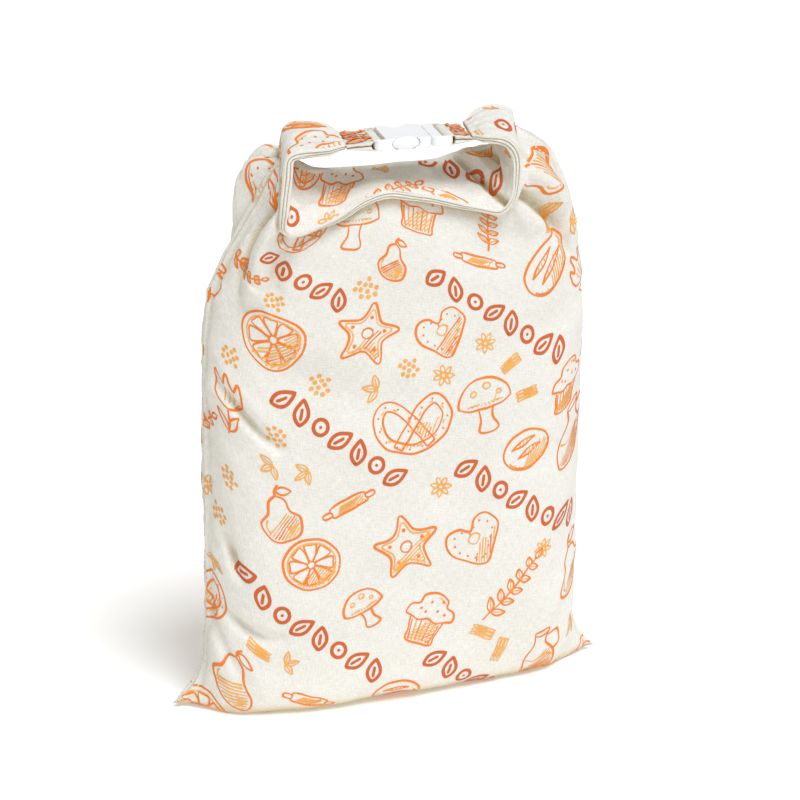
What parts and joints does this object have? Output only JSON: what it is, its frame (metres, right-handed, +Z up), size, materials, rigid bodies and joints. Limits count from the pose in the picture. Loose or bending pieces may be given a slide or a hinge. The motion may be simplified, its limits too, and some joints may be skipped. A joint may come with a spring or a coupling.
{
  "type": "roll-top bread bag",
  "caption": "Filled standing roll-top canvas bread bag, its mouth rolled into a band and closed over the top as a carry loop with a side-release buckle.",
  "frame": {"origin": "bottom centre of the bounding box, on the plane the bag stands on", "axes": "+Z up, +X to the right seen from the front, the front panel faces -Y"},
  "size_m": [0.36, 0.117, 0.4718],
  "materials": {
    "canvas": "matte",
    "buckle_plastic": "satin"
  },
  "bodies": {
    "root": {"front_panel": "canvas", "back_panel": "canvas", "rolled_mouth": "canvas", "tab_left": "canvas", "tab_right": "canvas", "buckle_socket": "buckle_plastic", "buckle_prongs": "buckle_plastic"}
  },
  "joints": []
}
